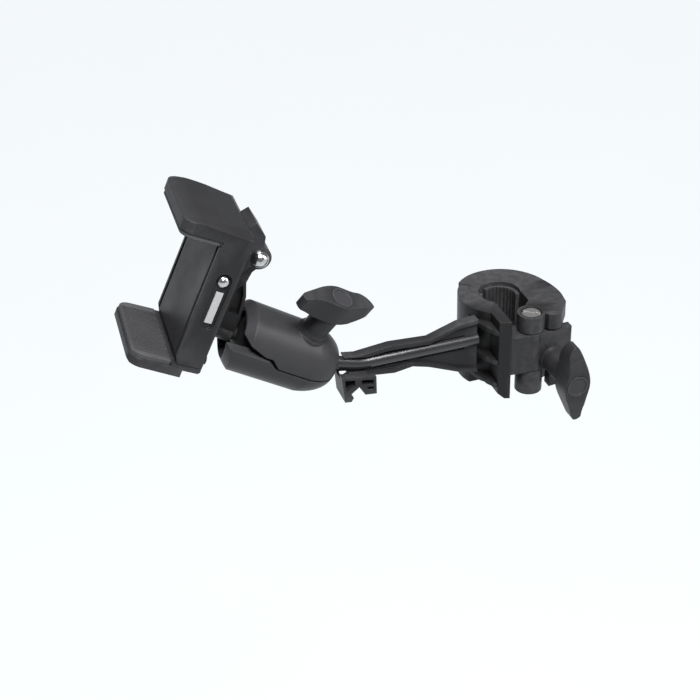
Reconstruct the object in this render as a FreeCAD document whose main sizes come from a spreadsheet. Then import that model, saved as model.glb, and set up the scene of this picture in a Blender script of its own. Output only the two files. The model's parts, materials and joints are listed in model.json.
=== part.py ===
"""Phone holder on a ball-jointed arm with a hinged pole clamp.

Frame: millimetres, +Z up along the pole, origin on the pole's axis at the clamp's mid height.
The arm leaves the clamp towards -X. Each sub-part is written to parts/NODE.step.
"""
import FreeCAD
import Part
import Sketcher
import math
import os

from FreeCAD import Placement, Rotation, Vector

SIZES = {
    # pole and clamp
    "pole_radius": 8.0, "liner_wall": 2.0, "jaw_height": 42.0, "jaw_radius": 20.0,
    "hinge_x": 6.1, "hinge_y": -22.6, "barrel_radius": 6.5, "hinge_pin_radius": 2.0,
    "plate_left": -11.5, "plate_right": -6.0, "plate_front": -28.3, "cap_height": 8.0,
    "knuckle_low": -8.0, "knuckle_high": 12.0, "block_front": -29.0, "block_back": -23.5,
    "tail_face": -16.5, "screw_x": 14.6, "screw_z": -2.0, "screw_radius": 3.0, "part_gap": 0.5,
    # arm
    "arm_y": -14.0, "rod_radius": 3.1, "rod_level": 7.0, "rod_end": -17.3, "rod_bend": -76.0,
    "arm_root": -17.8, "arm_tip": -84.0, "web_wall": 2.2, "flange_width": 5.0, "flange_wall": 2.2,
    "clip_left": -86.5, "clip_right": -70.0, "clip_high": 3.4, "clip_low": -8.4, "clip_depth": 13.0,
    # ball housing
    "rear_x": -95.8, "rear_z": 12.6, "rear_ball_radius": 8.5, "ball_spacing": 32.0,
    "front_ball_radius": 12.7, "socket_tilt": 32.5, "socket_roll": 20.0, "shell_radius": 16.3, "shell_front": -54.5,
    "seat_gap": 0.05, "split_level": 2.4, "split_gap": 0.9, "bolt_offset": 13.5,
    "bolt_radius": 3.0, "knob_neck": 6.0, "wing_span": 39.5, "wing_depth": 11.0,
    "wing_width": 12.0, "wing_tip": 5.0,
    # bracket behind the cradle
    "stem_tilt": 33.0, "cradle_tilt": 26.0, "cradle_yaw": -2.5, "stem_radius": 3.2, "sleeve_radius": 4.8,
    "sleeve_near": -14.2, "sleeve_far": -24.0, "pin_x": -17.8, "pin_z": 41.5,
    "pin_radius": 2.5, "boss_radius": 5.2, "bracket_width": 9.0, "lug_wall": 3.2,
    # cradle
    "cradle_width": 46.5, "cradle_front": -41.3, "cradle_back": -28.0, "cradle_low": -7.8,
    "cradle_high": 55.0, "cover_wall": 2.4, "channel_width": 34.0, "channel_front": -36.0,
    "jaw_reach": -58.8, "lower_reach": -59.8, "upper_grip": 48.0, "lower_grip": -7.4,
    "pad_wall": 2.0, "lower_wall": 3.6, "slide_gap": 0.3, "rail_wall": 1.9, "rail_slot": 2.2,
    "cover_inset": 1.8, "pad_inset": 0.5,
}

doc = FreeCAD.newDocument("phone_mount")
sheet = doc.addObject("Spreadsheet::Sheet", "Sizes")
for row, (alias, amount) in enumerate(SIZES.items(), start=1):
    sheet.set("A%d" % row, alias)
    sheet.set("B%d" % row, str(amount))
    sheet.setAlias("B%d" % row, alias)
doc.recompute()


class Size:
    """A number together with the spreadsheet expression that gives it."""

    def __init__(self, value, text):
        self.value = float(value)
        self.text = text

    def joined(self, other, sign, value):
        return Size(value, "(%s %s %s)" % (self.text, sign, other.text))

    def __add__(self, other):
        other = size(other)
        return self.joined(other, "+", self.value + other.value)

    def __sub__(self, other):
        other = size(other)
        return self.joined(other, "-", self.value - other.value)

    def __mul__(self, other):
        other = size(other)
        return self.joined(other, "*", self.value * other.value)

    def __truediv__(self, other):
        other = size(other)
        return self.joined(other, "/", self.value / other.value)

    def __radd__(self, other):
        return size(other) + self

    def __rsub__(self, other):
        return size(other) - self

    def __rmul__(self, other):
        return size(other) * self

    def __neg__(self):
        return Size(-self.value, "(0 - %s)" % self.text)

    def __float__(self):
        return self.value


def size(value):
    """A Size as it is, or a plain number as a Size."""
    return value if isinstance(value, Size) else Size(value, "%.6f" % value)


def cell(alias):
    """The Size held in one spreadsheet cell."""
    return Size(SIZES[alias], "Sizes.%s" % alias)


def cosine(angle):
    return Size(math.cos(math.radians(angle.value)), "cos(%s * 1 deg)" % angle.text)


def sine(angle):
    return Size(math.sin(math.radians(angle.value)), "sin(%s * 1 deg)" % angle.text)


# ---------------------------------------------------------------- modelling helpers

nodes = []
counter = {"sketch": 0}
WORLD = Placement()


def new_body(name, placement=WORLD):
    """A PartDesign body that becomes one node."""
    owner = doc.addObject("PartDesign::Body", name)
    owner.Label = name
    owner.AllowCompound = True
    owner.Placement = placement
    nodes.append(owner)
    return owner


def new_sketch(owner, plane, offset):
    """A sketch on one of the body's own origin planes, moved along the plane's normal."""
    counter["sketch"] += 1
    sketch = owner.newObject("Sketcher::SketchObject", "Sketch%03d" % counter["sketch"])
    face = [item for item in owner.Origin.OriginFeatures if item.Role == plane][0]
    sketch.AttachmentSupport = [(face, "")]
    sketch.MapMode = "FlatFace"
    offset = size(offset)
    sketch.AttachmentOffset = Placement(Vector(0, 0, offset.value), Rotation())
    sketch.setExpression("AttachmentOffset.Base.z", offset.text)
    return sketch


def fix_point(sketch, geometry, which, point):
    """Binds a point of the sketch to its two sizes."""
    for kind, amount in (("DistanceX", size(point[0])), ("DistanceY", size(point[1]))):
        index = sketch.addConstraint(Sketcher.Constraint(kind, -1, 1, geometry, which, amount.value))
        sketch.setExpression("Constraints[%d]" % index, amount.text)


def vector(point):
    return Vector(float(point[0]), float(point[1]), 0)


def draw_outline(sketch, points):
    """Closed outline. A point (x, y) starts a line, a point (x, y, mx, my) an arc through (mx, my)."""
    first = sketch.GeometryCount
    total = len(points)
    for index, point in enumerate(points):
        start = vector(point)
        end = vector(points[(index + 1) % total])
        if len(point) == 4:
            sketch.addGeometry(Part.Arc(start, vector(point[2:]), end))
        else:
            sketch.addGeometry(Part.LineSegment(start, end))
    for index, point in enumerate(points):
        here = first + index
        following = first + (index + 1) % total
        # an arc's start and end swap when it runs clockwise
        here_start, here_end = ends(sketch, here, point, points[(index + 1) % total])
        next_start = ends(sketch, following, points[(index + 1) % total], points[(index + 2) % total])[0]
        sketch.addConstraint(Sketcher.Constraint("Coincident", here, here_end, following, next_start))
        fix_point(sketch, here, here_start, point)
        if len(point) == 4:
            helper = sketch.addGeometry(Part.Point(vector(point[2:])), True)
            fix_point(sketch, helper, 1, point[2:])
            sketch.addConstraint(Sketcher.Constraint("PointOnObject", helper, 1, here))


def ends(sketch, geometry, start, end):
    """Which point numbers of a piece of outline are its start and its end."""
    begins = sketch.getPoint(geometry, 1)
    if begins.distanceToPoint(vector(start)) <= begins.distanceToPoint(vector(end)):
        return 1, 2
    return 2, 1


def draw_circle(sketch, centre, radius):
    radius = size(radius)
    circle = sketch.addGeometry(Part.Circle(vector(centre), Vector(0, 0, 1), radius.value))
    fix_point(sketch, circle, 3, centre)
    index = sketch.addConstraint(Sketcher.Constraint("Radius", circle, radius.value))
    sketch.setExpression("Constraints[%d]" % index, radius.text)


def prism(owner, plane, low, high, draw, cut=False):
    """Pads or pockets a sketch between two levels of the axis square to its plane.

    plane is XY (levels are z), XZ (levels are y) or YZ (levels are x).
    """
    low = size(low)
    high = size(high)
    backwards = plane == "XZ"
    if cut:
        level = -low if backwards else high
    else:
        level = -high if backwards else low
    sketch = new_sketch(owner, plane + "_Plane", level)
    draw(sketch)
    feature = owner.newObject("PartDesign::" + ("Pocket" if cut else "Pad"), sketch.Name + "Solid")
    feature.Profile = sketch
    length = high - low
    feature.Length = length.value
    feature.setExpression("Length", length.text)
    doc.recompute()
    return feature


def polygon(points):
    return lambda sketch: draw_outline(sketch, points)


def circles(*items):
    def draw(sketch):
        for centre, radius in items:
            draw_circle(sketch, centre, radius)
    return draw


def soften(owner, radius, chosen, kind="Fillet"):
    """Rounds or bevels the edges of the body's tip that the test picks."""
    doc.recompute()
    tip = owner.Tip
    names = ["Edge%d" % number for number, edge in enumerate(tip.Shape.Edges, start=1) if chosen(edge)]
    if not names:
        return None
    feature = owner.newObject("PartDesign::" + kind, "%s%s%d" % (owner.Name, kind, len(names)))
    feature.Base = (tip, names)
    radius = size(radius)
    name = "Radius" if kind == "Fillet" else "Size"
    setattr(feature, name, radius.value)
    feature.setExpression(name, radius.text)
    doc.recompute()
    return feature


def runs_along(edge, direction):
    """True for a straight edge that is parallel to a direction."""
    if edge.Curve.TypeId != "Part::GeomLine":
        return False
    return abs(abs(edge.Curve.Direction.dot(direction)) - 1.0) < 1e-6


def centre_of(edge):
    return edge.valueAt((edge.FirstParameter + edge.LastParameter) / 2)


def solid_node(name, shape, placement=WORLD):
    """A node whose shape is worked out by Part's own functions."""
    item = doc.addObject("Part::Feature", name)
    item.Label = name
    item.Shape = shape
    item.Placement = placement
    nodes.append(item)
    return item


def value(alias):
    return SIZES[alias]


X_AXIS, Y_AXIS, Z_AXIS = Vector(1, 0, 0), Vector(0, 1, 0), Vector(0, 0, 1)


# ---------------------------------------------------------------- frames of the jointed groups

ARM_Y = value("arm_y")
REAR = Vector(value("rear_x"), ARM_Y, value("rear_z"))
SOCKET_TURN = Rotation(Y_AXIS, value("socket_tilt")).multiply(Rotation(X_AXIS, value("socket_roll")))
SOCKET = Placement(REAR, SOCKET_TURN)
FRONT = REAR + SOCKET_TURN.multVec(Vector(-value("ball_spacing"), 0, 0))
YAW = Rotation(Z_AXIS, value("cradle_yaw"))
STEM = Placement(FRONT, YAW.multiply(Rotation(Y_AXIS, value("stem_tilt"))))
CRADLE = Placement(FRONT, YAW.multiply(Rotation(Y_AXIS, value("cradle_tilt"))))

half = cell("jaw_height") / 2
bore = cell("pole_radius") + cell("liner_wall")
hinge = (cell("hinge_x"), cell("hinge_y"))
gap = cell("part_gap")
cap_low = half - cell("cap_height")


# ---------------------------------------------------------------- pole clamp

def build_arm_jaw():
    """Left half of the clamp: ring wall, front plate, ribs for the arm, knuckle and screw block."""
    owner = new_body("arm_jaw")
    wall = cell("jaw_radius")
    prism(owner, "XY", -half, half, circles(((0, 0), wall)))
    # bore for the liner, and the space that the other half fills
    prism(owner, "XY", -half, half, circles(((0, 0), bore)), cut=True)
    prism(owner, "XY", -half, half, polygon([
        (-0.3, 0.3), (-20.0, 19.4), (-20.0, 32.0), (32.0, 32.0), (32.0, -32.0),
        (cell("plate_right"), -32.0), (cell("plate_right"), -6.0)]), cut=True)
    prism(owner, "XY", -half, half, polygon([
        (cell("plate_left"), cell("plate_front") + 2), (cell("plate_right"), cell("plate_front")),
        (cell("plate_right"), -8), (cell("plate_left"), -8)]))
    low, high = cell("knuckle_low"), cell("knuckle_high")
    prism(owner, "XY", low, high, polygon([
        (-7, -28.0), (4.5, -29.0), (9.0, -28.2), (9.0, -17.5), (4.0, -16.4), (-7, -18.0)]))
    prism(owner, "XY", low, high, circles((hinge, cell("barrel_radius"))))
    front, back = cell("block_front"), cell("block_back")
    prism(owner, "XY", low, high, polygon([(8.0, front), (25.0, front + 1.5), (25.0, back), (8.0, back)]))
    prism(owner, "XY", low - 11, low, polygon([
        (14.2, front + 0.6), (24.0, front + 1.8), (24.0, back), (14.2, back)]))
    # crescent ribs between the ring and the plate hold the arm's root
    for level, reach in ((14.0, -27.0), (-2.4, -26.0), (-15.0, -26.0)):
        prism(owner, "XY", level, level + 2.2, polygon([
            (-19.4, -3.0), (-8.0, -8.0), (-7.0, -20.0),
            (cell("plate_left") - 0.4, reach, -17.2, -15.5)]))
    arm_half = cell("flange_width") / 2
    prism(owner, "XZ", cell("arm_y") - arm_half, cell("arm_y") + arm_half, polygon([
        (-30.0, -11.2), (cell("arm_root"), -11.2), (cell("arm_root"), 19.4), (-30.0, 19.4)]), cut=True)
    prism(owner, "XY", -half, half, circles((hinge, cell("hinge_pin_radius") + 0.05)), cut=True)
    # the screw's bush and foot have their own bore through block and knuckle
    prism(owner, "XZ", cell("block_front") - 1, -15.0, circles(
        ((cell("screw_x"), cell("screw_z")), 5.0)), cut=True)
    # the plate's foot runs to a point at its left
    prism(owner, "XZ", -32.0, -8.2, polygon([
        (-20.5, -half - 1), (-7.4, -half - 1), (cell("plate_left") - 4, -half + 6.5), (-20.5, -half + 4.0)]),
        cut=True)
    return owner


def build_hook_jaw():
    """Right half of the clamp: far wall, cap over the block, and the barrels above and below."""
    owner = new_body("hook_jaw")
    far = [(-14.6, 15.4, -7.5, 20.4), (1.2, 22.1, 9.5, 20.6), (17.1, 15.7, 21.6, 10.0),
           (24.4, 3.0, 26.3, -4.5)]
    inner = [(9.6, -16.0), (9.6, 2.8, 7.3, 6.9), (0, bore, -4.0, 9.2)]
    prism(owner, "XY", -half, cap_low, polygon(far + [
        (26.6, -12.4), (19.0, cell("tail_face"))] + [(9.6, cell("tail_face"))] + inner[1:]
        + [(-7.2, 7.2)]))
    prism(owner, "XY", cap_low, half, polygon(far + [
        (26.6, -12.5), (25.4, -19.6), (20.6, -26.2, 17.5, -28.9), (12.6, -27.6), (9.6, -22.0)]
        + inner + [(-7.2, 7.2)]))
    for low, high in ((-half, cell("knuckle_low") - gap), (cell("knuckle_high") + gap, half)):
        prism(owner, "XY", low, high, circles((hinge, cell("barrel_radius"))))
        prism(owner, "XY", low, high, polygon([
            (4.6, -17.5), (9.8, -12.0), (19.0, cell("tail_face")), (11.4, -19.4)]))
    prism(owner, "XY", -half, half, circles(((0, 0), bore)), cut=True)
    prism(owner, "XY", -half, half, circles((hinge, cell("hinge_pin_radius") + 0.05)), cut=True)
    # counterbore for the screw's head and a pocket for the nut
    prism(owner, "XY", half - 2.6, half, circles((hinge, 4.75)), cut=True)
    prism(owner, "XY", -half, -half + 3.4, circles((hinge, 4.3)), cut=True)
    return owner


def build_liners():
    """Two rubber liners that line the bore, one in each jaw."""
    for name, start, sweep in (("jaw_liner", 145.0, 95.0), ("hook_liner", -12.0, 128.0)):
        outer = value("pole_radius") + value("liner_wall")
        ring = Part.makeCylinder(outer, value("jaw_height") - 4, Vector(0, 0, 2 - value("jaw_height") / 2),
                                 Z_AXIS, sweep)
        ring = ring.cut(Part.makeCylinder(value("pole_radius"), value("jaw_height"),
                                          Vector(0, 0, -value("jaw_height") / 2)))
        # grip grooves along the pole
        count = int(sweep / 12)
        for index in range(1, count):
            angle = math.radians(sweep * index / count)
            spot = Vector(math.cos(angle), math.sin(angle), 0) * value("pole_radius")
            ring = ring.cut(Part.makeCylinder(0.45, value("jaw_height"),
                                              spot + Vector(0, 0, -value("jaw_height") / 2)))
        solid_node(name, ring, Placement(Vector(), Rotation(Z_AXIS, start)))


def build_hinge_hardware():
    """Slotted screw through the barrels and its nut."""
    top = value("jaw_height") / 2
    spot = Vector(value("hinge_x"), value("hinge_y"), 0)
    head = Part.makeCylinder(4.5, 2.2, spot + Vector(0, 0, top - 2.6))
    dome = Part.makeSphere(9.0, spot + Vector(0, 0, top - 8.3))
    head = head.common(dome)
    slot = Part.makeBox(11, 1.3, 1.4, Vector(-5.5, -0.65, 0))
    slot.Placement = Placement(spot + Vector(0, 0, top - 1.5), Rotation(Z_AXIS, -38))
    shank = Part.makeCylinder(value("hinge_pin_radius"), 2 * top - 3.4, spot + Vector(0, 0, 0.8 - top))
    solid_node("hinge_screw", head.cut(slot).fuse(shank).removeSplitter())
    corners = [Vector(4.0 * math.cos(math.radians(60 * k)), 4.0 * math.sin(math.radians(60 * k)), 0)
               for k in range(7)]
    nut = Part.Face(Part.makePolygon(corners)).extrude(Vector(0, 0, 2.6))
    nut.translate(spot + Vector(0, 0, 0.6 - top))
    nut = nut.cut(Part.makeCylinder(value("hinge_pin_radius"), 6, spot + Vector(0, 0, -top)))
    solid_node("hinge_nut", nut)


def build_clamp_screw():
    """Threaded bush in the block, pressure foot, bolt, wing knob and plain centre disc."""
    line = Vector(value("screw_x"), 0, value("screw_z"))
    front, back = value("block_front"), value("block_back")
    bush = Part.makeCylinder(5.0, back - front - 1.0, line + Vector(0, front + 1.0, 0), Y_AXIS)
    bush = bush.cut(Part.makeCylinder(value("screw_radius") + 0.05, 20, line + Vector(0, front - 5, 0), Y_AXIS))
    solid_node("clamp_bush", bush)
    tip = value("tail_face") - 0.15
    foot = Part.makeCone(4.4, 3.4, 3.0, line + Vector(0, tip - 3.0, 0), Y_AXIS)
    foot = foot.cut(Part.makeCylinder(2.0, 1.6, line + Vector(0, tip - 3.0, 0), Y_AXIS))
    solid_node("pressure_foot", foot)
    knob_base = front - 7.0
    shank = Part.makeCylinder(value("screw_radius"), tip - 3.05 - (knob_base - 9), line + Vector(0, knob_base - 9, 0),
                              Y_AXIS)
    pilot = Part.makeCylinder(1.9, 1.5, line + Vector(0, tip - 3.1, 0), Y_AXIS)
    solid_node("clamp_bolt", shank.fuse(pilot))
    frame = Placement(line + Vector(0, front - 1.2, 0), Rotation(X_AXIS, 90).multiply(Rotation(Z_AXIS, 90)))
    build_wing_knob("clamp", frame, value("screw_radius"), 5.8, 15.0, -8.0)


def build_wing_knob(prefix, frame, shaft, shaft_depth, neck, turn):
    """Wing knob along its own +Z: flared collar, round neck, S-shaped wing and a plain disc."""
    span, depth = value("wing_span"), value("wing_depth")
    wide, thin = value("wing_width") / 2, value("wing_tip") / 2
    reach = span / 2
    sway = 3.4
    outline = [Vector(-reach + thin, -sway - thin, 0), Vector(-7.0, -wide + 0.4, 0), Vector(1.5, -wide, 0),
               Vector(11.0, -wide + 3.6, 0), Vector(reach - thin, sway - thin, 0), Vector(reach, sway, 0)]
    curve = outline + [Vector(-point.x, -point.y, 0) for point in outline]
    spline = Part.BSplineCurve()
    spline.interpolate(curve, PeriodicFlag=True)
    wing = Part.Face(Part.Wire([spline.toShape()])).extrude(Vector(0, 0, depth + 4))
    # seen from the side, the wing's back rises towards both tips and its face is slightly domed
    side = [Vector(-reach - 1, -20, depth - 2.6), Vector(-10, -20, depth), Vector(10, -20, depth),
            Vector(reach + 1, -20, depth - 2.6), Vector(reach + 1, -20, depth - 7.6), Vector(9.5, -20, 0),
            Vector(-9.5, -20, 0), Vector(-reach - 1, -20, depth - 7.6)]
    profile = Part.Face(Part.makePolygon(side + side[:1])).extrude(Vector(0, 40, 0))
    wing = wing.common(profile)
    wing.rotate(Vector(), Z_AXIS, turn)
    wing.translate(Vector(0, 0, neck))
    radius = value("knob_neck")
    stalk = Part.makeCylinder(radius, neck + 3)
    collar = Part.makeCone(radius + 0.7, radius, 1.6)
    knob = wing.fuse([stalk, collar]).removeSplitter()
    disc_bed = Part.makeCylinder(5.3, 1.0, Vector(0, 0, neck + depth - 0.8))
    hole = Part.makeCylinder(shaft + 0.05, neck + shaft_depth)
    knob = knob.cut(disc_bed).cut(hole)
    solid_node(prefix + "_knob", knob, frame)
    disc = Part.makeCylinder(5.2, 0.9, Vector(0, 0, neck + depth - 0.8))
    disc = disc.cut(Part.makeCylinder(4.2, 0.5, Vector(0, 0, neck + depth - 0.2)))
    solid_node(prefix + "_knob_disc", disc, frame)


# ---------------------------------------------------------------- arm

def build_arm():
    """Moulded arm: an upright web with a flange along its top and bottom and a channel for the rod."""
    owner = new_body("arm")
    middle = cell("arm_y")
    web = cell("web_wall") / 2
    wide = cell("flange_width") / 2
    wall = cell("flange_wall")
    root, tip = cell("arm_root"), cell("arm_tip")
    top = [(root, 18.6), (-27.5, 17.8), (-42.3, 12.9), (-61.3, 14.1), (-78.0, 12.4), (tip, 13.4)]
    low = [(tip + 2.0, 2.6), (-68.0, 0.2), (-59.6, -0.8), (-50.6, 0.6), (-42.7, -1.6), (-27.5, -8.0),
           (root, -10.4)]
    prism(owner, "XZ", middle - web, middle + web, polygon(top + low))
    under = [(x, z - wall) for x, z in reversed(top)]
    prism(owner, "XZ", middle - wide, middle + wide, polygon(top + under))
    over = [(x, z + wall) for x, z in reversed(low)]
    prism(owner, "XZ", middle - wide, middle + wide, polygon(low + over))
    # the rod's channel opens through both faces of the web
    rod = cell("rod_radius") + 0.6
    level = cell("rod_level")
    prism(owner, "XZ", middle - wide, middle + wide, polygon([
        (root - 3.4, level - rod), (root - 3.4, level + rod), (cell("rod_bend") + 4, level + rod),
        (tip - 1, level + rod + 2.2), (tip - 1, level - rod + 1.4), (cell("rod_bend") + 2, level - rod)]), cut=True)
    # saddles hold the rod from behind at both ends and in the middle
    for low_x in (-24.0, -52.0, -74.0):
        prism(owner, "XZ", middle - web, middle + 4.4, polygon([
            (low_x, level - rod - 0.5), (low_x + 4.0, level - rod - 0.5), (low_x + 4.0, level + rod + 0.5),
            (low_x, level + rod + 0.5)]))
    prism(owner, "YZ", cell("rod_bend"), root + 1, circles(((middle, level), cell("rod_radius"))), cut=True)
    return owner


def rod_path():
    """Centre line of the rod: straight, then a bend up to the rear ball."""
    y, level = ARM_Y, value("rod_level")
    bend = Vector(value("rod_bend"), y, level)
    away = (REAR - bend).normalize()
    radius = 26.0
    angle = away.getAngle(Vector(-1, 0, 0))
    run = radius * math.tan(angle / 2)
    start = Vector(value("rod_end"), y, level)
    enter = bend + Vector(run, 0, 0)
    leave = bend + away * run
    centre = enter + Vector(0, 0, radius)
    middle = centre + (bend - centre).normalize() * radius
    finish = REAR - away * (value("rear_ball_radius") - 5.0)
    return start, enter, middle, leave, finish, away


def build_rod_and_rear_ball():
    """Steel rod with a cut end, and the ball and jam nut on its far end."""
    start, enter, middle, leave, finish, away = rod_path()
    path = Part.Wire([Part.LineSegment(start, enter).toShape(), Part.Arc(enter, middle, leave).toShape(),
                      Part.LineSegment(leave, finish).toShape()])
    ring = Part.Wire([Part.Circle(start, X_AXIS, value("rod_radius")).toShape()])
    rod = path.makePipeShell([ring], True, False)
    solid_node("arm_rod", rod)
    ball = Part.makeSphere(value("rear_ball_radius"), REAR)
    ball = ball.cut(Part.makeCylinder(value("rod_radius") + 0.05, 20, finish + away * 0.02, away * -1))
    solid_node("rear_ball", ball)


def build_cable_clip():
    """Open hook frame under the arm, with three windows and a downward slot for a cable."""
    owner = new_body("cable_clip")
    middle = cell("arm_y")
    deep = cell("clip_depth") / 2
    left, right = cell("clip_left"), cell("clip_right")
    high, low = cell("clip_high"), cell("clip_low")
    near, far = middle - deep, middle + deep
    prism(owner, "XZ", near, far, polygon([
        (left, high + 1.6), (right, high - 1.2), (right, low + 1.2), (right - 5.6, low + 1.8),
        (right - 8.4, low + 6.6), (right - 12.4, low + 3.6), (right - 11.2, low + 1.4),
        (right - 12.4, low - 0.6), (left + 1.0, low - 0.2)]))
    prism(owner, "XZ", near, far, polygon([
        (left + 1.4, high - 0.2), (left + 6.2, high - 1.0), (left + 6.2, high - 4.0),
        (left + 1.6, high - 6.4)]), cut=True)
    prism(owner, "XZ", near, far, polygon([
        (left + 9.4, high - 1.6), (right - 1.4, high - 2.8), (right - 1.4, high - 5.0),
        (left + 9.4, high - 4.4)]), cut=True)
    prism(owner, "XZ", near, far, polygon([
        (right - 4.8, high - 6.0), (right - 1.5, high - 6.4), (right - 1.5, high - 7.7),
        (right - 3.6, high - 7.8)]), cut=True)
    # the arm's lower flange lies in the frame's top
    wide = cell("flange_width") / 2 + 0.05
    tip = cell("arm_tip")
    prism(owner, "XZ", middle - wide, middle + wide, polygon([
        (left - 1, 2.55), (tip + 2.0, 2.55), (-68.0, 0.15), (-68.0, high + 3), (left - 1, high + 3)]), cut=True)
    return owner


# ---------------------------------------------------------------- ball housing

def shell_blank(front):
    """Barrel about the X axis: domed rear end, straight middle and the given front outline."""
    rear = [(6.0, 8.2), (4.6, 10.4), (1.5, 12.8), (-3.0, 14.8), (-8.0, 16.0)]
    curve = Part.BSplineCurve()
    curve.interpolate([Vector(x, 0, r) for x, r in rear])
    corners = [Vector(x, 0, r) for x, r in [rear[-1]] + front]
    corners += [Vector(front[-1][0], 0, 0), Vector(rear[0][0], 0, 0), Vector(rear[0][0], 0, rear[0][1])]
    sides = [Part.makeLine(first, second) for first, second in zip(corners, corners[1:])]
    return Part.Face(Part.Wire([curve.toShape()] + sides)).revolve(Vector(), X_AXIS, 360)


def slot_of(shape_radius, centre_x, low, high):
    """A ball seat with straight walls from its centre on, so that the shell can move off the ball."""
    ball = Part.makeSphere(shape_radius, Vector(centre_x, 0, 0))
    return ball.fuse(Part.makeCylinder(shape_radius, high - low, Vector(centre_x, 0, low)))


def side_region(points):
    """The space whose side view is the given outline, wide enough for the whole housing."""
    corners = [Vector(x, -30, z) for x, z in points]
    return Part.Face(Part.makePolygon(corners + corners[:1])).extrude(Vector(0, 60, 0))


def build_socket():
    """Upper and lower shells, bolt, spring, washer and wing knob."""
    wide = value("shell_radius")
    front_x = -value("ball_spacing")
    split, opening = value("split_level"), value("split_gap")
    rear_r = value("rear_ball_radius") + value("seat_gap")
    front_r = value("front_ball_radius") + value("seat_gap")
    upper_blank = shell_blank([(-41.5, wide), (-45.2, 12.9)])
    lower_blank = shell_blank([(-50.0, wide), (value("shell_front"), wide - 2.4)])
    # throats let the rod and the stem swing
    rear_throat = Part.makeCone(rear_r - 1.1, 15.0, 12.0, Vector(3.4, 0, 0), X_AXIS)
    front_throat = Part.makeCone(front_r - 1.4, front_r + 0.3, 24.0, Vector(front_x - 4.6, 0, 0), X_AXIS * -1)
    bolt_x = -value("bolt_offset")
    bolt_hole = Part.makeCylinder(value("bolt_radius") + 0.2, 60, Vector(bolt_x, 0, -30))
    # the shells part along a line that steps up beside the front ball
    far, high, low = 20.0, 40.0, -40.0
    above = side_region([(far, split), (-24.3, split), (-29.2, 5.9), (-33.0, 5.9), (-41.5, 8.4), (-60.0, 13.0),
                         (-60.0, high), (far, high)])
    below = side_region([(far, split - opening), (-25.2, split - opening), (-30.2, 4.4), (-60.0, 4.4),
                         (-60.0, low), (far, low)])
    seats = slot_of(rear_r, 0, -5, 0).fuse(slot_of(front_r, front_x, -5, 0))
    spring_room = Part.makeCylinder(4.9, 6.6, Vector(bolt_x, 0, split - opening))
    boss = Part.makeCone(7.6, 7.2, 3.4, Vector(bolt_x, 0, wide - 3.6))
    boss = boss.cut(bolt_hole)
    throats = rear_throat.fuse(front_throat).fuse(bolt_hole)
    upper = upper_blank.cut(throats).common(above).fuse(boss).cut(seats).cut(spring_room)
    solid_node("socket_upper", upper.removeSplitter(), SOCKET)
    balls = slot_of(rear_r, 0, 0, 8).fuse(slot_of(front_r, front_x, 0, 8))
    head_room = Part.makeCylinder(5.4, 4.0, Vector(bolt_x, 0, -wide - 0.6))
    # the lower shell ends in a rounded spoon
    spoon = Part.makeSphere(29.0, Vector(-25.5, 0, 9.0))
    spoon = spoon.fuse(Part.makeCylinder(29.0, 60, Vector(-25.5, 0, 9.0), X_AXIS))
    lower = lower_blank.cut(throats).common(below).common(spoon).cut(balls).cut(head_room)
    solid_node("socket_lower", lower.removeSplitter(), SOCKET)
    top = wide - 0.2
    head_level = 0.6 - wide
    shank = Part.makeCylinder(value("bolt_radius"), top + 13.2 - head_level, Vector(bolt_x, 0, head_level))
    head = Part.makeCylinder(5.2, 2.6, Vector(bolt_x, 0, head_level))
    dome = Part.makeSphere(7.4, Vector(bolt_x, 0, head_level + 6.6))
    solid_node("socket_bolt", head.common(dome).fuse(shank).removeSplitter(), SOCKET)
    washer = Part.makeCylinder(7.0, 0.8, Vector(bolt_x, 0, top)).cut(bolt_hole)
    solid_node("socket_washer", washer, SOCKET)
    turns, steps, pitch, coil_radius = 3.5, 12, 1.3, 3.95
    base = Vector(bolt_x, 0, split - opening + 0.55)
    coil = [base + Vector(coil_radius * math.cos(2 * math.pi * k / steps),
                          coil_radius * math.sin(2 * math.pi * k / steps), pitch * k / steps)
            for k in range(int(turns * steps) + 1)]
    centre_line = Part.BSplineCurve()
    centre_line.interpolate(coil)
    ring = Part.Wire([Part.Circle(coil[0], centre_line.tangent(0.0)[0], 0.5).toShape()])
    spring = Part.Wire([centre_line.toShape()]).makePipeShell([ring], True, True)
    solid_node("socket_spring", spring, SOCKET)
    seat = Placement(SOCKET.multVec(Vector(bolt_x, 0, top + 0.85)), SOCKET_TURN)
    build_wing_knob("socket", seat, value("bolt_radius"), 1.0, 12.0, 4.0)


# ---------------------------------------------------------------- front ball, stem and bracket

def build_stem():
    """Front ball, the stem through it and the stem's nut."""
    ball = Part.makeSphere(value("front_ball_radius"), Vector())
    core = Part.makeCylinder(value("stem_radius") + 0.05, 30, Vector(4.05, 0, 0), X_AXIS * -1)
    solid_node("front_ball", ball.cut(core), STEM)
    nut_start = value("sleeve_far") - 0.02
    nut_wall = 2.2
    length = 4.0 - nut_start + nut_wall
    stem = Part.makeCylinder(value("stem_radius"), length, Vector(4.0, 0, 0), X_AXIS * -1)
    solid_node("ball_stem", stem, STEM)
    corners = [Vector(nut_start, 4.8 * math.cos(math.radians(60 * k)), 4.8 * math.sin(math.radians(60 * k)))
               for k in range(7)]
    nut = Part.Face(Part.makePolygon(corners)).extrude(Vector(-nut_wall, 0, 0))
    solid_node("stem_nut", nut.cut(Part.makeCylinder(value("stem_radius"), 40, Vector(), X_AXIS * -1)), STEM)


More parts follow.
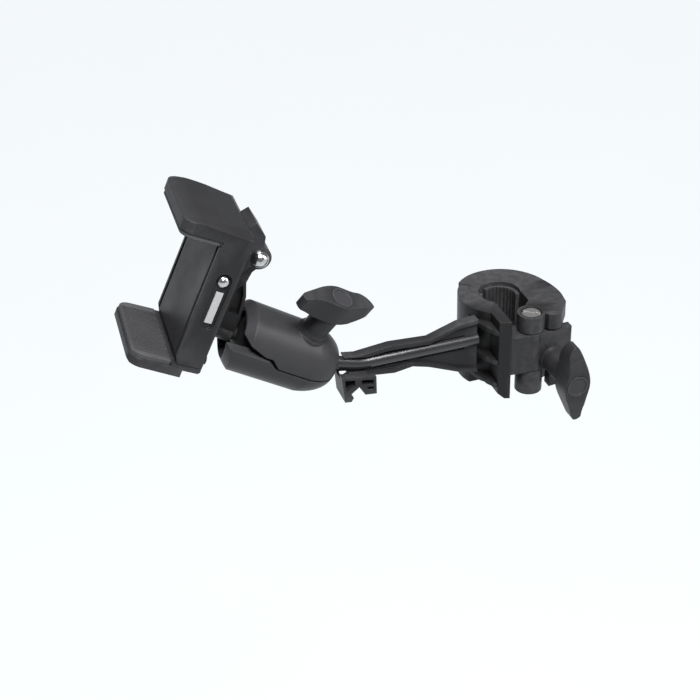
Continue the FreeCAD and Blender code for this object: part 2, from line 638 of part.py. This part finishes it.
def build_bracket():
    """Lever from its sleeve on the stem up to the tilt pin."""
    owner = new_body("tilt_bracket", STEM)
    deep = cell("bracket_width") / 2
    # the pin's place is set in the cradle's frame, which leans back from the stem's
    lean = cell("stem_tilt") - cell("cradle_tilt")
    pin = (cell("pin_x") * cosine(lean) - cell("pin_z") * sine(lean),
           cell("pin_z") * cosine(lean) + cell("pin_x") * sine(lean))
    prism(owner, "XZ", -deep, deep, circles((pin, cell("boss_radius"))))
    prism(owner, "XZ", -deep, deep, polygon([
        (-27.2, 37.4), (-26.0, 32.0), (-24.6, 26.0), (-24.4, 20.6), (-23.2, 13.6), (-22.4, 7.0),
        (-22.4, 2.0), (cell("sleeve_near"), 2.0), (-14.9, 9.0), (-16.2, 14.6), (-17.6, 19.4),
        (-20.8, 25.4), (-20.9, 30.6), (-18.4, 36.0)]))
    prism(owner, "YZ", cell("sleeve_far"), cell("sleeve_near"), circles(((0, 0), cell("sleeve_radius"))))
    prism(owner, "YZ", -40.0, 0.0, circles(((0, 0), cell("stem_radius") + 0.02)), cut=True)
    prism(owner, "XZ", -deep - 1, deep + 1, circles((pin, cell("pin_radius") + 0.05)), cut=True)
    # side pockets lighten the lever
    for low, high in ((-deep, -1.4), (1.4, deep)):
        prism(owner, "XZ", low, high, polygon([
            (-22.9, 21.0), (-21.4, 10.0), (-16.6, 10.0), (-17.8, 15.0), (-19.2, 19.8), (-21.6, 23.6)]),
            cut=True)
    return owner


def build_tilt_pin():
    """Chrome pin with a domed head at the near side, and two thin washers."""
    deep = value("bracket_width") / 2
    lug = value("lug_wall")
    spot = Vector(value("pin_x"), 0, value("pin_z"))
    outside = deep + 0.5 + lug
    shank = Part.makeCylinder(value("pin_radius"), 2 * outside + 1.2, spot + Vector(0, -outside - 0.6, 0), Y_AXIS)
    dome = Part.makeSphere(4.0, spot + Vector(0, -outside - 0.1, 0))
    dome = dome.cut(Part.makeBox(20, 20, 20, spot + Vector(-10, -outside - 0.05, -10)))
    nut = Part.makeCylinder(4.0, 2.6, spot + Vector(0, outside + 0.05, 0), Y_AXIS)
    solid_node("tilt_pin", shank.fuse([dome, nut]).removeSplitter(), CRADLE)
    rings = []
    for low in (-deep - 0.45, deep + 0.05):
        ring = Part.makeCylinder(4.6, 0.4, spot + Vector(0, low, 0), Y_AXIS)
        rings.append(ring.cut(Part.makeCylinder(value("pin_radius"), 60, spot + Vector(0, -30, 0), Y_AXIS)))
    solid_node("tilt_washers", Part.makeCompound(rings), CRADLE)


# ---------------------------------------------------------------- cradle

cradle_half = cell("cradle_width") / 2
cover_front = cell("cradle_back") - cell("cover_wall")
COVER_SCREWS = [(y, z) for y in (-18.6, 18.6) for z in (-5.2, 46.0)]
SCREW_RADIUS = 1.3


def wedge_cut(owner, side, near_x, far_x, width, drop):
    """Cuts a facet along one side of the jaw's top, growing from nothing at near_x to full width at far_x."""
    high = cell("cradle_high")
    outer = (cradle_half + 1) * side
    small, above, rise = 0.1, 6.0, 1.6
    feature = owner.newObject("PartDesign::SubtractiveLoft", "NearFacet" if side < 0 else "FarFacet")
    sections = []
    for x, inner, low in ((near_x, cradle_half - small, high - small), (far_x, cradle_half - width, high - drop)):
        sketch = new_sketch(owner, "YZ_Plane", x)
        draw_outline(sketch, [(outer, low), (inner * side, high + rise), (inner * side, high + above),
                              (outer, high + above)])
        sections.append(sketch)
    feature.Profile = sections[0]
    feature.Sections = sections[1:]
    feature.Ruled = True
    doc.recompute()
    return feature


def build_housing():
    """Cradle body: front plate between two rails, fixed upper jaw and the channel for the slider."""
    owner = new_body("cradle_housing", CRADLE)
    front, low, high = cell("cradle_front"), cell("cradle_low"), cell("cradle_high")
    grip = cell("upper_grip") + cell("pad_wall")
    rear = cell("cradle_back") - 0.6
    prism(owner, "XZ", -cradle_half, cradle_half, polygon([
        (front, low + 3.4), (front + 1.6, low), (rear, low), (rear, high - 0.4),
        (-31.0, high + 1.0), (-42.5, high + 1.6), (cell("jaw_reach"), high - 0.4),
        (cell("jaw_reach"), grip), (front, grip)]))
    # room under the upper pad, so that a phone's back lies flat on the face
    relief = 0.5
    prism(owner, "XZ", -cradle_half - 1, cradle_half + 1, polygon([
        (front - 1, cell("upper_grip") - relief), (front + relief, cell("upper_grip") - relief),
        (front + relief, grip), (front - 1, grip)]), cut=True)
    # channel for the slider, open below
    wide = cell("channel_width") / 2
    prism(owner, "XY", low - 1, grip - 6.0, polygon([
        (cell("channel_front"), -wide), (cover_front + 1, -wide), (cover_front + 1, wide),
        (cell("channel_front"), wide)]), cut=True)
    # bed for the back cover
    bed = cradle_half - cell("cover_inset")
    prism(owner, "XY", low - 1, high - cell("cover_inset"), polygon([
        (cover_front, -bed), (cell("cradle_back") + 1, -bed), (cell("cradle_back") + 1, bed),
        (cover_front, bed)]), cut=True)
    # a deep slot parts the front plate from the rail on each side
    for side in (-1, 1):
        outer = (cradle_half - cell("rail_wall")) * side
        inner = (cradle_half - cell("rail_wall") - cell("rail_slot")) * side
        first, second = (outer, inner) if side < 0 else (inner, outer)
        prism(owner, "XY", low - 1, cell("upper_grip") - 0.2, polygon([
            (front - 1, first), (front + 2.9, first), (front + 2.9, second), (front - 1, second)]), cut=True)
    # long pocket with round ends on the near side wall
    centre_x, bottom, top, radius = -34.2, 14.0, 33.6, 3.3
    prism(owner, "XZ", -cradle_half, -cradle_half + 1.2, polygon([
        (centre_x - radius, bottom, centre_x, bottom - radius), (centre_x + radius, bottom),
        (centre_x + radius, top, centre_x, top + radius), (centre_x - radius, top)]), cut=True)
    reach = value("jaw_reach")
    soften(owner, 5.0, lambda edge: runs_along(edge, Z_AXIS) and centre_of(edge).x < reach + 1)
    for side in (-1, 1):
        wedge_cut(owner, side, cell("jaw_reach") + 5, cell("cradle_back") + 1, 9.0, 1.6)
    return owner


def build_cradle_cover():
    """Back cover with the two lugs for the tilt pin, the bridge over them and raised ribs."""
    owner = new_body("cradle_cover", CRADLE)
    back = cell("cradle_back")
    low, high = cell("cradle_low"), cell("cradle_high") - cell("cover_inset") - 0.1
    wide = cradle_half - cell("cover_inset") - 0.1
    prism(owner, "YZ", cover_front, back, polygon([(-wide, low), (wide, low), (wide, high), (-wide, high)]))
    near = cell("bracket_width") / 2 + 0.5
    outside = near + cell("lug_wall")
    pin = (cell("pin_x"), cell("pin_z"))
    round_end = cell("boss_radius")
    for first, second in ((-outside, -near), (near, outside)):
        prism(owner, "XZ", first, second, polygon([
            (back - 0.2, 30.0), (-23.6, 31.0), (-20.4, 36.4), (pin[0], pin[1] - round_end, pin[0] + round_end, pin[1]),
            (pin[0], pin[1] + round_end), (-19.0, 51.6), (-25.0, 56.4), (back - 0.2, 52.6)]))
        prism(owner, "XZ", first, second, circles((pin, cell("pin_radius") + 0.05)), cut=True)
    # block across the top of the lugs
    prism(owner, "XZ", -outside, outside, polygon([
        (back - 0.2, 48.6), (-21.4, 48.4), (-19.0, 51.6), (-25.0, 56.4), (back - 0.2, 52.6)]))
    # raised ribs across the inner face either side of the lever
    for level in range(-1, 27, 4):
        for first, second in ((-18.0, -9.5), (9.5, 18.0)):
            prism(owner, "YZ", back, back + 0.8, polygon([
                (first, level), (second, level), (second, level + 1.6), (first, level + 1.6)]))
    # holes for the four cover screws
    prism(owner, "YZ", cover_front - 1, back + 3, circles(
        *[(spot, SCREW_RADIUS + 0.05) for spot in COVER_SCREWS]), cut=True)
    return owner


def build_cover_screws():
    """Four pan-head screws in the corners of the cover."""
    screws = []
    head_radius, head_height, slot_wide = 2.2, 1.0, 0.7
    for y, z in COVER_SCREWS:
        spot = Vector(value("cradle_back"), y, z)
        head = Part.makeCylinder(head_radius, head_height, spot + Vector(0.02, 0, 0), X_AXIS)
        head = head.cut(Part.makeBox(0.5, 3.0, slot_wide, spot + Vector(0.6, -1.5, -slot_wide / 2)))
        head = head.cut(Part.makeBox(0.5, slot_wide, 3.0, spot + Vector(0.6, -slot_wide / 2, -1.5)))
        shank = Part.makeCylinder(SCREW_RADIUS, value("cover_wall"), spot + Vector(0.1, 0, 0), X_AXIS * -1)
        screws.append(head.fuse(shank))
    solid_node("cover_screws", Part.makeCompound(screws), CRADLE)


def pad(name, reach, rear, low, high, corner, inset, grip, pitch):
    """Rubber pad with rounded outer corners and fine grooves along the jaw's depth in its grip face."""
    wide = value("cradle_width") / 2 - inset
    margin, border, groove_deep = 2.0, 1.6, 0.4
    slab = Part.makeBox(rear - reach, 2 * wide, high - low, Vector(reach, -wide, low))
    corners = [edge for edge in slab.Edges if runs_along(edge, Z_AXIS) and centre_of(edge).x < reach + 1]
    slab = slab.makeFillet(corner, corners)
    cuts = []
    for index in range(1, int((2 * wide - 2 * margin) / pitch)):
        y = margin - wide + pitch * index
        corner_of_groove = Vector(reach + border, y, grip - groove_deep)
        cuts.append(Part.makeBox(rear - reach - border, pitch * 0.45, 2 * groove_deep, corner_of_groove))
    solid_node(name, slab.cut(cuts), CRADLE)


def build_pads_and_badge():
    """Rubber pads of both jaws, plain badge bar and round pin head in the side pocket."""
    half_width = value("cradle_width") / 2
    front, inset, wall = value("cradle_front"), value("pad_inset"), value("pad_wall")
    grip = value("upper_grip")
    pad("upper_jaw_pad", value("jaw_reach") + inset, front - 0.4, grip, grip + wall, 4.6, inset, grip, 1.6)
    grip = value("lower_grip")
    pad("lower_jaw_pad", value("lower_reach") + inset, front - 1.0, grip - wall, grip, 5.6, inset, grip, 1.3)
    bar = Part.makeBox(3.2, 0.6, 14.6, Vector(-35.4, 0.56 - half_width, 13.6))
    solid_node("badge_bar", bar, CRADLE)
    dome = Part.makeSphere(3.0, Vector(-34.2, 2.0 - half_width, 33.2))
    dome = dome.cut(Part.makeBox(20, 20, 20, Vector(-44, 1.2 - half_width, 22)))
    solid_node("side_pin", dome, CRADLE)


def build_lower_jaw():
    """Sliding lower jaw: a plate in the housing's channel, a foot under the phone and a rear lip."""
    owner = new_body("lower_jaw", CRADLE)
    play = cell("slide_gap")
    width = cell("channel_width") / 2 - play
    top = cell("lower_grip") - cell("pad_wall")
    bottom = top - cell("lower_wall")
    rear = cover_front - play
    under = cell("cradle_low") - play
    reach = cell("lower_reach")
    prism(owner, "XY", under - 1.6, 43.0, polygon([
        (cell("channel_front") + play, -width), (rear, -width), (rear, width),
        (cell("channel_front") + play, width)]))
    prism(owner, "XZ", -cradle_half, cradle_half, polygon([
        (reach, top), (reach, bottom + 0.8), (reach + 1.2, bottom), (-36.3, bottom - 0.8),
        (-36.3, under - 2.3), (-29.4, under - 2.3), (-28.6, under - 1.5), (-28.6, under),
        (cell("cradle_front") - 0.6, under), (cell("cradle_front") - 0.6, top)]))
    soften(owner, 6.0, lambda edge: runs_along(edge, Z_AXIS) and centre_of(edge).x < float(reach) + 0.5)
    return owner


build_arm_jaw()
build_hook_jaw()
build_liners()
build_hinge_hardware()
build_clamp_screw()
build_arm()
build_rod_and_rear_ball()
build_cable_clip()
build_socket()
build_stem()
build_bracket()
build_tilt_pin()
build_housing()
build_cradle_cover()
build_cover_screws()
build_pads_and_badge()
build_lower_jaw()

doc.recompute()
for item in doc.Objects:
    if "Invalid" in item.State or "Error" in item.State:
        raise RuntimeError("%s did not compute: %s" % (item.Label, item.State))
os.makedirs("parts", exist_ok=True)
for node in nodes:
    if node.Shape.isNull() or not node.Shape.isValid():
        raise RuntimeError("%s has no valid shape" % node.Label)
    node.Shape.exportStep("parts/%s.step" % node.Label)
    print("%-20s %2d solids %10.1f mm3" % (node.Label, len(node.Shape.Solids), node.Shape.Volume))
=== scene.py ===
"""Looks of the phone mount: procedural materials, soft studio light and camera."""
import json
import math

import bpy
from mathutils import Matrix, Vector


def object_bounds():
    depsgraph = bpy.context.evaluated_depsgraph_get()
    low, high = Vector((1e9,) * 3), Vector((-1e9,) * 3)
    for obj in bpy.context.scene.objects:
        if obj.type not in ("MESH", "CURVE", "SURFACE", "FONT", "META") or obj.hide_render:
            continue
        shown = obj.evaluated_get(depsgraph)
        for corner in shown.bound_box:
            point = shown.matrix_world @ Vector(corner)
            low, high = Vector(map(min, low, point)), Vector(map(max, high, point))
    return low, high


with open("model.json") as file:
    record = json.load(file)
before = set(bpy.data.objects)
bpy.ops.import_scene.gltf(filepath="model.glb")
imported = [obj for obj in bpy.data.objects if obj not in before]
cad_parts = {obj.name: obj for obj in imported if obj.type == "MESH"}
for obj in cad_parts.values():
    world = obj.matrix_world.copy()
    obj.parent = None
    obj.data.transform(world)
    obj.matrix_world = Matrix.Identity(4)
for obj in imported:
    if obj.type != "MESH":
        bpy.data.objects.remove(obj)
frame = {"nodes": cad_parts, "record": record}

cad_low, cad_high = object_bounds()
MM = 0.001
nodes = frame["nodes"]


# ---------------------------------------------------------------- materials

def new_material(name):
    """An empty node material, its tree and its shader."""
    material = bpy.data.materials.new(name)
    material.use_nodes = True
    tree = material.node_tree
    shader = tree.nodes["Principled BSDF"]
    return material, tree, shader


def add(tree, kind, **settings):
    """A node with input sockets (by name) or properties set to plain values."""
    node = tree.nodes.new(kind)
    for key, amount in settings.items():
        if key in node.inputs:
            node.inputs[key].default_value = amount
        else:
            setattr(node, key, amount)
    return node


def ramp(tree, source, low, high, first, second):
    """Maps a grey source between two levels to two greys or colours."""
    node = tree.nodes.new("ShaderNodeValToRGB")
    node.color_ramp.elements[0].position = low
    node.color_ramp.elements[1].position = high
    node.color_ramp.elements[0].color = (*first, 1)
    node.color_ramp.elements[1].color = (*second, 1)
    tree.links.new(source, node.inputs["Fac"])
    return node.outputs["Color"]


def noise(tree, place, scale, detail=3.0, roughness=0.55, stretch=None):
    """Noise on the object's own coordinates, stretched along an axis where asked."""
    source = place
    if stretch:
        mapping = add(tree, "ShaderNodeMapping")
        mapping.inputs["Scale"].default_value = stretch
        tree.links.new(place, mapping.inputs["Vector"])
        source = mapping.outputs["Vector"]
    node = add(tree, "ShaderNodeTexNoise", Scale=scale, Detail=detail, Roughness=roughness)
    tree.links.new(source, node.inputs["Vector"])
    return node.outputs["Fac"]


def mixed(tree, factor, first, second):
    """Blends two colours, each either a plain value or another node's output, by a factor."""
    node = tree.nodes.new("ShaderNodeMix")
    node.data_type = "RGBA"
    tree.links.new(factor, node.inputs["Factor"])
    colour_a, colour_b, colour_out = 6, 7, 2
    for socket, amount in ((node.inputs[colour_a], first), (node.inputs[colour_b], second)):
        if isinstance(amount, tuple):
            socket.default_value = (*amount, 1)
        else:
            tree.links.new(amount, socket)
    return node.outputs[colour_out]


# noise scales, in waves per metre
MOTTLE_SCALE = 60.0
RUB_SCALE = 320.0
# how far the mottling moves the colour, and the narrow band of edge sharpness where wear fades in
DARKER, LIGHTER = 0.94, 1.06
WEAR_LEVEL, WEAR_BEFORE, WEAR_AFTER = 0.59, 0.03, 0.05
BLACK, WHITE = (0, 0, 0), (1, 1, 1)


def surface(name, colour, rough, grain=2200.0, grain_depth=0.25, wear=(0.045, 0.045, 0.048),
            edge=0.35, metallic=0.0, spread=0.05, stretch=None, specular=0.20):
    """A moulded or finished surface: mottled colour, uneven gloss, fine grain and brighter worn edges."""
    material, tree, shader = new_material(name)
    place = add(tree, "ShaderNodeTexCoord").outputs["Object"]
    broad = noise(tree, place, MOTTLE_SCALE, 4.0)
    fine = noise(tree, place, grain, 2.0, 0.6, stretch)
    darker = tuple(channel * DARKER for channel in colour)
    lighter = tuple(min(1.0, channel * LIGHTER) for channel in colour)
    base = ramp(tree, broad, 0.35, 0.68, darker, lighter)
    geometry = tree.nodes.new("ShaderNodeNewGeometry")
    rubbed = noise(tree, place, RUB_SCALE)
    edges = ramp(tree, geometry.outputs["Pointiness"], WEAR_LEVEL - WEAR_BEFORE, WEAR_LEVEL + WEAR_AFTER,
                 BLACK, WHITE)
    worn = add(tree, "ShaderNodeMath", operation="MULTIPLY")
    tree.links.new(edges, worn.inputs[0])
    tree.links.new(rubbed, worn.inputs[1])
    tree.links.new(mixed(tree, worn.outputs[0], base, wear), shader.inputs["Base Color"])
    low, high = max(0.02, rough - spread), min(1.0, rough + spread)
    tree.links.new(ramp(tree, broad, 0.3, 0.7, (low,) * 3, (high,) * 3), shader.inputs["Roughness"])
    rounded = add(tree, "ShaderNodeBevel", Radius=edge * MM, samples=6)
    bump = add(tree, "ShaderNodeBump", Strength=grain_depth, Distance=0.05 * MM)
    tree.links.new(fine, bump.inputs["Height"])
    tree.links.new(rounded.outputs["Normal"], bump.inputs["Normal"])
    tree.links.new(bump.outputs["Normal"], shader.inputs["Normal"])
    shader.inputs["Metallic"].default_value = metallic
    shader.inputs["Specular IOR Level"].default_value = specular
    return material


MATERIALS = {
    "clamp_plastic": surface("clamp_plastic", (0.0085, 0.0085, 0.0090), 0.44),
    "arm_plastic": surface("arm_plastic", (0.0095, 0.0095, 0.0105), 0.42),
    "rod_steel": surface("rod_steel", (0.012, 0.012, 0.013), 0.24, grain=900.0, grain_depth=0.06, spread=0.04,
                         edge=0.5, stretch=(0.05, 1.0, 1.0), specular=0.6),
    "liner_rubber": surface("liner_rubber", (0.006, 0.006, 0.006), 0.75, grain=1500.0, specular=0.2),
    "bright_steel": surface("bright_steel", (0.62, 0.61, 0.59), 0.26, grain=1200.0, grain_depth=0.1,
                            wear=(0.8, 0.8, 0.8), metallic=1.0, edge=0.2),
    "dark_steel": surface("dark_steel", (0.020, 0.020, 0.021), 0.34, grain=900.0, metallic=0.4, edge=0.2),
    "knob_plastic": surface("knob_plastic", (0.014, 0.014, 0.015), 0.42, edge=0.6),
    "disc_plastic": surface("disc_plastic", (0.022, 0.022, 0.024), 0.38, edge=0.3),
    "ball_plastic": surface("ball_plastic", (0.006, 0.006, 0.006), 0.35),
    "housing_plastic": surface("housing_plastic", (0.021, 0.021, 0.0225), 0.42, edge=0.7, grain=1800.0),
    "bracket_plastic": surface("bracket_plastic", (0.008, 0.008, 0.0085), 0.42, edge=0.4),
    "chrome_pin": surface("chrome_pin", (0.55, 0.55, 0.55), 0.20, grain=300.0, grain_depth=0.02,
                          wear=(0.5, 0.5, 0.5), metallic=1.0, spread=0.04, edge=0.3),
    "cradle_plastic": surface("cradle_plastic", (0.011, 0.011, 0.0115), 0.43, edge=0.5),
    "pad_rubber": surface("pad_rubber", (0.030, 0.030, 0.032), 0.60, grain=1500.0, edge=0.4,
                          wear=(0.07, 0.07, 0.073)),
    "badge_grey": surface("badge_grey", (0.24, 0.24, 0.24), 0.45, edge=0.15, wear=(0.3, 0.3, 0.3)),
}

for part in frame["record"]["subparts"]:
    piece = nodes[part["node"]]
    piece.data.materials.clear()
    piece.data.materials.append(MATERIALS[part["material_slot"]])


# ---------------------------------------------------------------- floor, light and camera

def build_floor():
    """A plain pale floor, far below the held object, that glows enough to look evenly white."""
    width, drop, offset = 14.0, 0.9, 2.0
    bpy.ops.mesh.primitive_plane_add(size=width, location=(0, offset, -drop))
    floor = bpy.context.object
    floor.name = "floor"
    material, tree, shader = new_material("floor_pale")
    place = add(tree, "ShaderNodeTexCoord").outputs["Object"]
    speckle = noise(tree, place, 3.0, 2.0)
    tree.links.new(ramp(tree, speckle, 0.3, 0.7, (0.095, 0.10, 0.10), (0.105, 0.11, 0.11)),
                   shader.inputs["Base Color"])
    shader.inputs["Roughness"].default_value = 0.9
    shader.inputs["Emission Color"].default_value = (0.93, 0.965, 0.985, 1)
    shader.inputs["Emission Strength"].default_value = 0.93
    floor.data.materials.append(material)


def area_light(name, place, aim, size_x, size_y, power):
    """A rectangular lamp at a place, turned towards an aim."""
    data = bpy.data.lights.new(name, "AREA")
    data.shape = "RECTANGLE"
    data.size, data.size_y = size_x, size_y
    data.energy = power
    light = bpy.data.objects.new(name, data)
    bpy.context.scene.collection.objects.link(light)
    light.location = place
    light.rotation_mode = "QUATERNION"
    light.rotation_quaternion = (Vector(aim) - Vector(place)).to_track_quat("-Z", "Y")


def build_lights(middle):
    """A strong key from above the near side, a strip from the right, a top light and a dim surround."""
    area_light("key", middle + Vector((0.05, -0.65, 1.05)), middle, 0.45, 0.45, 40.0)
    area_light("strip_right", middle + Vector((0.9, -0.5, 0.4)), middle, 0.16, 0.8, 7.0)
    area_light("top", middle + Vector((0.0, 0.3, 1.1)), middle, 0.7, 0.4, 11.0)
    world = bpy.data.worlds.new("surround")
    bpy.context.scene.world = world
    world.use_nodes = True
    background = world.node_tree.nodes["Background"]
    background.inputs["Color"].default_value = (0.93, 0.96, 1.0, 1)
    background.inputs["Strength"].default_value = 0.22


def build_camera():
    """Camera to the left and above, with a slight roll."""
    target = Vector((-80.2, -14.0, 15.1)) * MM
    azimuth, elevation, roll = math.radians(-17.5), math.radians(32.3), math.radians(-2.2)
    distance = 605.4 * MM
    back = Vector((math.sin(azimuth) * math.cos(elevation), -math.cos(azimuth) * math.cos(elevation),
                   math.sin(elevation)))
    data = bpy.data.cameras.new("camera")
    data.lens = 68.3
    camera = bpy.data.objects.new("camera", data)
    bpy.context.scene.collection.objects.link(camera)
    turn = (-back).to_track_quat("-Z", "Y").to_matrix().to_4x4() @ Matrix.Rotation(roll, 4, "Z")
    camera.matrix_world = Matrix.Translation(target + back * distance) @ turn
    data.clip_start = 0.02
    bpy.context.scene.camera = camera


build_floor()
build_lights((cad_low + cad_high) / 2)
build_camera()
bpy.context.scene.view_settings.view_transform = "Standard"
